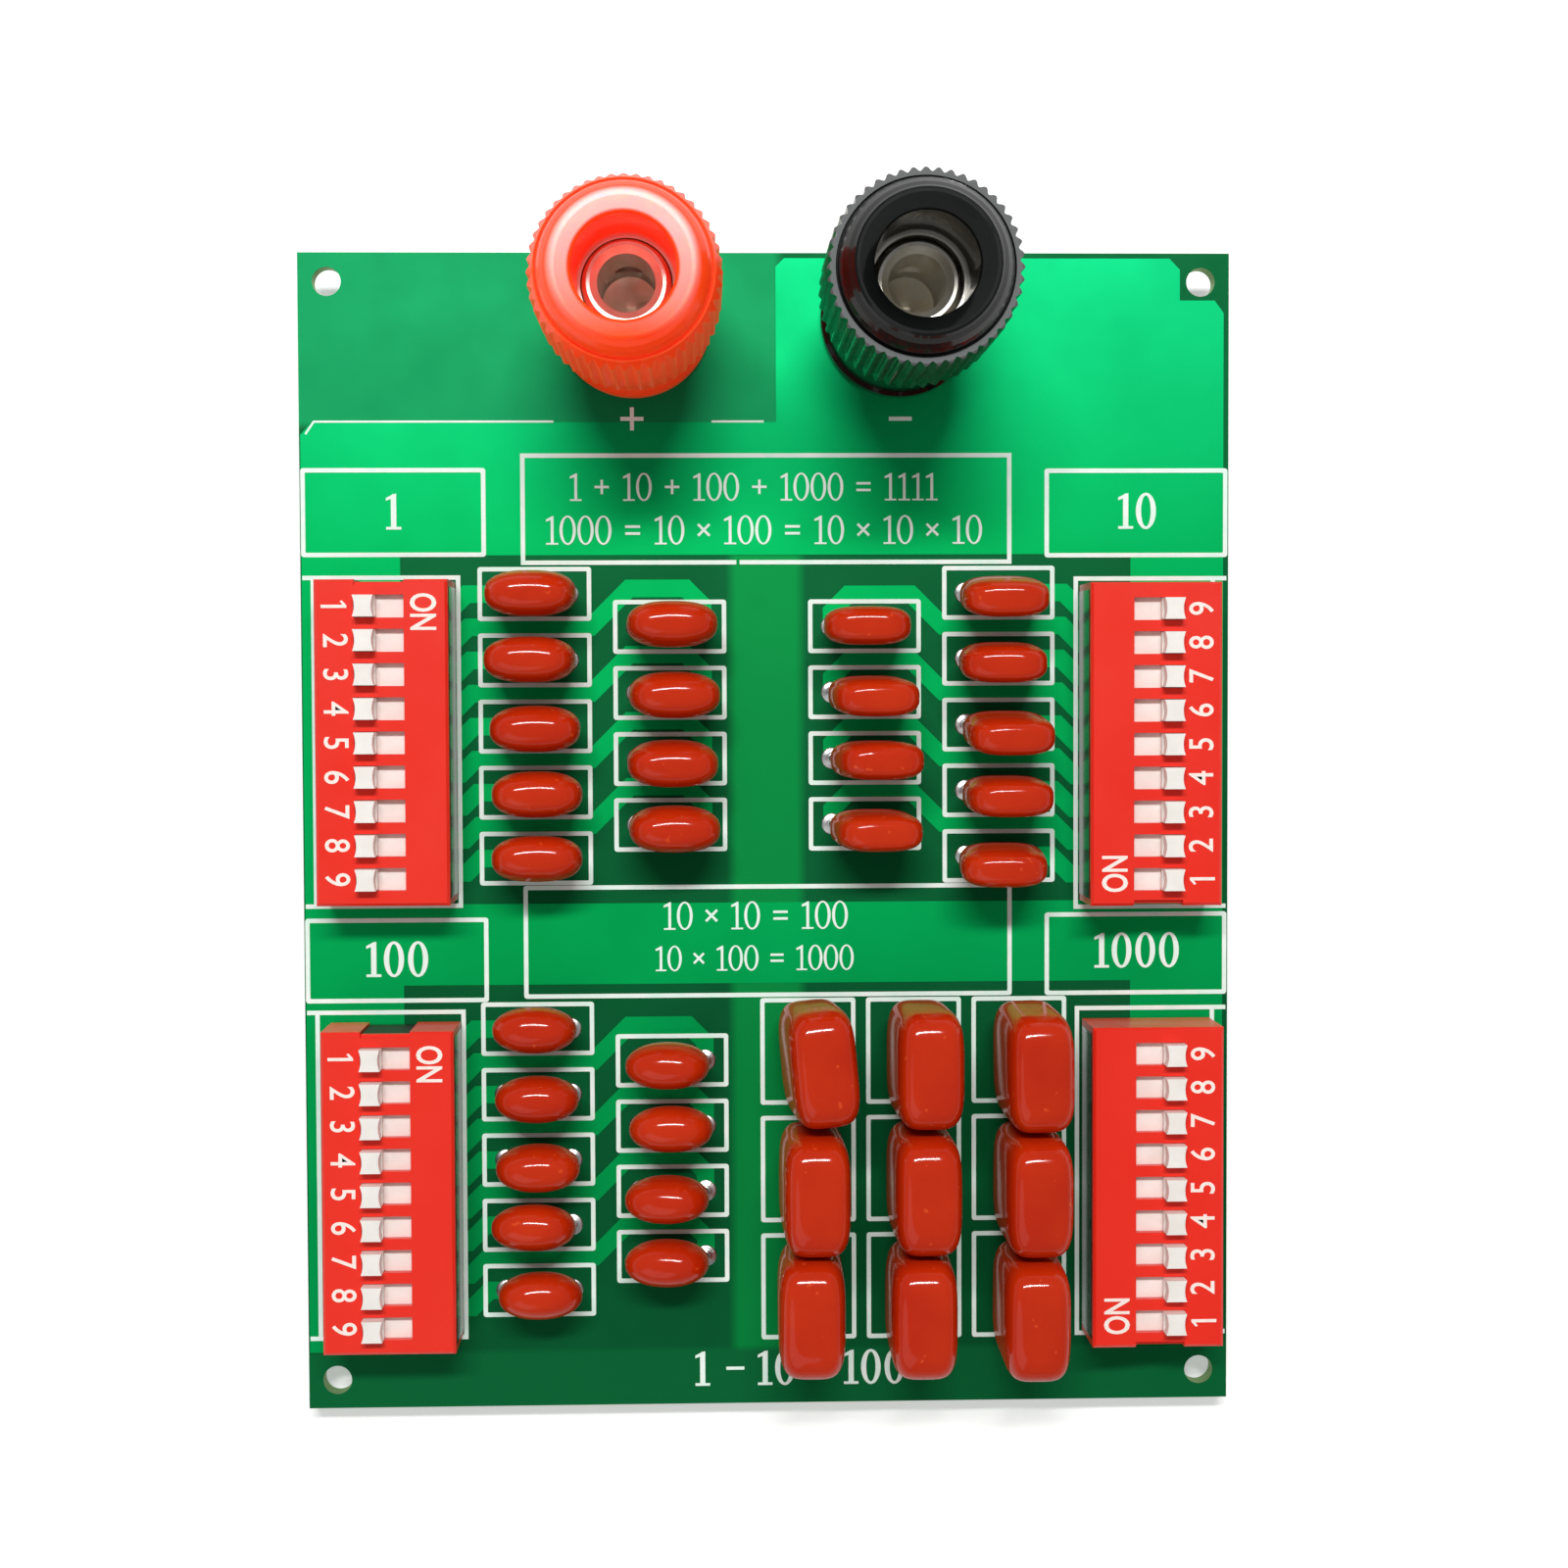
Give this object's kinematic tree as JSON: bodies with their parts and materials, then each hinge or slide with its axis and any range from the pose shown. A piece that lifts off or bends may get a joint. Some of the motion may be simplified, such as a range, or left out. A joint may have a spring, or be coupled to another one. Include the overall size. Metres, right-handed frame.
{
  "type": "programmable capacitor board",
  "caption": "Green circuit board with banks of slide switches that connect orange capacitors in parallel between a red and a black binding post.",
  "frame": {"origin": "centre of the corner hole pattern on the board's solder side", "axes": "+Z out of the component side, +Y along the board towards the binding posts, +X towards the tens and thousands banks"},
  "size_m": [0.0714, 0.0905, 0.0326],
  "materials": {
    "laminate": "satin",
    "solder": "satin",
    "tinned_wire": "satin",
    "orange_coating": "gloss",
    "red_plastic": "satin",
    "black_nylon": "matte",
    "plated_terminal": "satin",
    "spring_bronze": "satin",
    "white_nylon": "satin",
    "red_gloss": "gloss",
    "black_gloss": "gloss",
    "nickel": "gloss",
    "steel": "satin"
  },
  "bodies": {
    "root": {"circuit_board": "laminate", "solder_joints": "solder", "capacitor_leads": "tinned_wire", "units_capacitors": "orange_coating", "tens_capacitors": "orange_coating", "hundreds_capacitors": "orange_coating", "thousands_capacitors": "orange_coating", "units_switch_cover": "red_plastic", "tens_switch_cover": "red_plastic", "hundreds_switch_cover": "red_plastic", "thousands_switch_cover": "red_plastic", "switch_bases": "black_nylon", "switch_terminals": "plated_terminal", "contact_springs": "spring_bronze", "red_post_stud": "nickel", "black_post_stud": "nickel", "red_post_collar": "red_gloss", "black_post_collar": "black_gloss", "post_nuts": "nickel", "post_washers": "steel"},
    "units_slider_1": {"units_slider_1": "white_nylon"},
    "units_slider_2": {"units_slider_2": "white_nylon"},
    "units_slider_3": {"units_slider_3": "white_nylon"},
    "units_slider_4": {"units_slider_4": "white_nylon"},
    "units_slider_5": {"units_slider_5": "white_nylon"},
    "units_slider_6": {"units_slider_6": "white_nylon"},
    "units_slider_7": {"units_slider_7": "white_nylon"},
    "units_slider_8": {"units_slider_8": "white_nylon"},
    "units_slider_9": {"units_slider_9": "white_nylon"},
    "tens_slider_1": {"tens_slider_1": "white_nylon"},
    "tens_slider_2": {"tens_slider_2": "white_nylon"},
    "tens_slider_3": {"tens_slider_3": "white_nylon"},
    "tens_slider_4": {"tens_slider_4": "white_nylon"},
    "tens_slider_5": {"tens_slider_5": "white_nylon"},
    "tens_slider_6": {"tens_slider_6": "white_nylon"},
    "tens_slider_7": {"tens_slider_7": "white_nylon"},
    "tens_slider_8": {"tens_slider_8": "white_nylon"},
    "tens_slider_9": {"tens_slider_9": "white_nylon"},
    "hundreds_slider_1": {"hundreds_slider_1": "white_nylon"},
    "hundreds_slider_2": {"hundreds_slider_2": "white_nylon"},
    "hundreds_slider_3": {"hundreds_slider_3": "white_nylon"},
    "hundreds_slider_4": {"hundreds_slider_4": "white_nylon"},
    "hundreds_slider_5": {"hundreds_slider_5": "white_nylon"},
    "hundreds_slider_6": {"hundreds_slider_6": "white_nylon"},
    "hundreds_slider_7": {"hundreds_slider_7": "white_nylon"},
    "hundreds_slider_8": {"hundreds_slider_8": "white_nylon"},
    "hundreds_slider_9": {"hundreds_slider_9": "white_nylon"},
    "thousands_slider_1": {"thousands_slider_1": "white_nylon"},
    "thousands_slider_2": {"thousands_slider_2": "white_nylon"},
    "thousands_slider_3": {"thousands_slider_3": "white_nylon"},
    "thousands_slider_4": {"thousands_slider_4": "white_nylon"},
    "thousands_slider_5": {"thousands_slider_5": "white_nylon"},
    "thousands_slider_6": {"thousands_slider_6": "white_nylon"},
    "thousands_slider_7": {"thousands_slider_7": "white_nylon"},
    "thousands_slider_8": {"thousands_slider_8": "white_nylon"},
    "thousands_slider_9": {"thousands_slider_9": "white_nylon"},
    "red_knob_insert": {"red_knob_insert": "nickel"},
    "red_knob": {"red_knob": "red_gloss"},
    "black_knob_insert": {"black_knob_insert": "nickel"},
    "black_knob": {"black_knob": "black_gloss"}
  },
  "joints": [
    {"name": "units_switch_1", "type": "slide", "parent": "root", "child": "units_slider_1", "axis": [1, 0, 0], "range_m": [0, 0.00206]},
    {"name": "units_switch_2", "type": "slide", "parent": "root", "child": "units_slider_2", "axis": [1, 0, 0], "range_m": [0, 0.00206]},
    {"name": "units_switch_3", "type": "slide", "parent": "root", "child": "units_slider_3", "axis": [1, 0, 0], "range_m": [0, 0.00206]},
    {"name": "units_switch_4", "type": "slide", "parent": "root", "child": "units_slider_4", "axis": [1, 0, 0], "range_m": [0, 0.00206]},
    {"name": "units_switch_5", "type": "slide", "parent": "root", "child": "units_slider_5", "axis": [1, 0, 0], "range_m": [0, 0.00206]},
    {"name": "units_switch_6", "type": "slide", "parent": "root", "child": "units_slider_6", "axis": [1, 0, 0], "range_m": [0, 0.00206]},
    {"name": "units_switch_7", "type": "slide", "parent": "root", "child": "units_slider_7", "axis": [1, 0, 0], "range_m": [0, 0.00206]},
    {"name": "units_switch_8", "type": "slide", "parent": "root", "child": "units_slider_8", "axis": [1, 0, 0], "range_m": [0, 0.00206]},
    {"name": "units_switch_9", "type": "slide", "parent": "root", "child": "units_slider_9", "axis": [1, 0, 0], "range_m": [0, 0.00206]},
    {"name": "tens_switch_1", "type": "slide", "parent": "root", "child": "tens_slider_1", "axis": [-1, 0, 0], "range_m": [0, 0.00206]},
    {"name": "tens_switch_2", "type": "slide", "parent": "root", "child": "tens_slider_2", "axis": [-1, 0, 0], "range_m": [0, 0.00206]},
    {"name": "tens_switch_3", "type": "slide", "parent": "root", "child": "tens_slider_3", "axis": [-1, 0, 0], "range_m": [0, 0.00206]},
    {"name": "tens_switch_4", "type": "slide", "parent": "root", "child": "tens_slider_4", "axis": [-1, 0, 0], "range_m": [0, 0.00206]},
    {"name": "tens_switch_5", "type": "slide", "parent": "root", "child": "tens_slider_5", "axis": [-1, 0, 0], "range_m": [0, 0.00206]},
    {"name": "tens_switch_6", "type": "slide", "parent": "root", "child": "tens_slider_6", "axis": [-1, 0, 0], "range_m": [0, 0.00206]},
    {"name": "tens_switch_7", "type": "slide", "parent": "root", "child": "tens_slider_7", "axis": [-1, 0, 0], "range_m": [0, 0.00206]},
    {"name": "tens_switch_8", "type": "slide", "parent": "root", "child": "tens_slider_8", "axis": [-1, 0, 0], "range_m": [0, 0.00206]},
    {"name": "tens_switch_9", "type": "slide", "parent": "root", "child": "tens_slider_9", "axis": [-1, 0, 0], "range_m": [0, 0.00206]},
    {"name": "hundreds_switch_1", "type": "slide", "parent": "root", "child": "hundreds_slider_1", "axis": [1, 0, 0], "range_m": [0, 0.00206]},
    {"name": "hundreds_switch_2", "type": "slide", "parent": "root", "child": "hundreds_slider_2", "axis": [1, 0, 0], "range_m": [0, 0.00206]},
    {"name": "hundreds_switch_3", "type": "slide", "parent": "root", "child": "hundreds_slider_3", "axis": [1, 0, 0], "range_m": [0, 0.00206]},
    {"name": "hundreds_switch_4", "type": "slide", "parent": "root", "child": "hundreds_slider_4", "axis": [1, 0, 0], "range_m": [0, 0.00206]},
    {"name": "hundreds_switch_5", "type": "slide", "parent": "root", "child": "hundreds_slider_5", "axis": [1, 0, 0], "range_m": [0, 0.00206]},
    {"name": "hundreds_switch_6", "type": "slide", "parent": "root", "child": "hundreds_slider_6", "axis": [1, 0, 0], "range_m": [0, 0.00206]},
    {"name": "hundreds_switch_7", "type": "slide", "parent": "root", "child": "hundreds_slider_7", "axis": [1, 0, 0], "range_m": [0, 0.00206]},
    {"name": "hundreds_switch_8", "type": "slide", "parent": "root", "child": "hundreds_slider_8", "axis": [1, 0, 0], "range_m": [0, 0.00206]},
    {"name": "hundreds_switch_9", "type": "slide", "parent": "root", "child": "hundreds_slider_9", "axis": [1, 0, 0], "range_m": [0, 0.00206]},
    {"name": "thousands_switch_1", "type": "slide", "parent": "root", "child": "thousands_slider_1", "axis": [-1, 0, 0], "range_m": [0, 0.00206]},
    {"name": "thousands_switch_2", "type": "slide", "parent": "root", "child": "thousands_slider_2", "axis": [-1, 0, 0], "range_m": [0, 0.00206]},
    {"name": "thousands_switch_3", "type": "slide", "parent": "root", "child": "thousands_slider_3", "axis": [-1, 0, 0], "range_m": [0, 0.00206]},
    {"name": "thousands_switch_4", "type": "slide", "parent": "root", "child": "thousands_slider_4", "axis": [-1, 0, 0], "range_m": [0, 0.00206]},
    {"name": "thousands_switch_5", "type": "slide", "parent": "root", "child": "thousands_slider_5", "axis": [-1, 0, 0], "range_m": [0, 0.00206]},
    {"name": "thousands_switch_6", "type": "slide", "parent": "root", "child": "thousands_slider_6", "axis": [-1, 0, 0], "range_m": [0, 0.00206]},
    {"name": "thousands_switch_7", "type": "slide", "parent": "root", "child": "thousands_slider_7", "axis": [-1, 0, 0], "range_m": [0, 0.00206]},
    {"name": "thousands_switch_8", "type": "slide", "parent": "root", "child": "thousands_slider_8", "axis": [-1, 0, 0], "range_m": [0, 0.00206]},
    {"name": "thousands_switch_9", "type": "slide", "parent": "root", "child": "thousands_slider_9", "axis": [-1, 0, 0], "range_m": [0, 0.00206]},
    {"name": "red_knob_rise", "type": "slide", "parent": "root", "child": "red_knob_insert", "axis": [0, 0, 1], "range_m": [0, 0.0048]},
    {"name": "red_knob_turn", "type": "hinge", "parent": "red_knob_insert", "child": "red_knob", "pos_m": [-0.01016, 0.03937, 0.02], "axis": [0, 0, 1], "range_deg": [0, 2162]},
    {"name": "black_knob_rise", "type": "slide", "parent": "root", "child": "black_knob_insert", "axis": [0, 0, 1], "range_m": [-0.00135, 0.00345]},
    {"name": "black_knob_turn", "type": "hinge", "parent": "black_knob_insert", "child": "black_knob", "pos_m": [0.01016, 0.03937, 0.02], "axis": [0, 0, 1], "range_deg": [-608.5, 1553.5]}
  ],
  "couplings": [
    {"joint": "red_knob_turn", "follows": "red_knob_rise", "rad_per_m": 7854},
    {"joint": "black_knob_turn", "follows": "black_knob_rise", "rad_per_m": 7854}
  ]
}
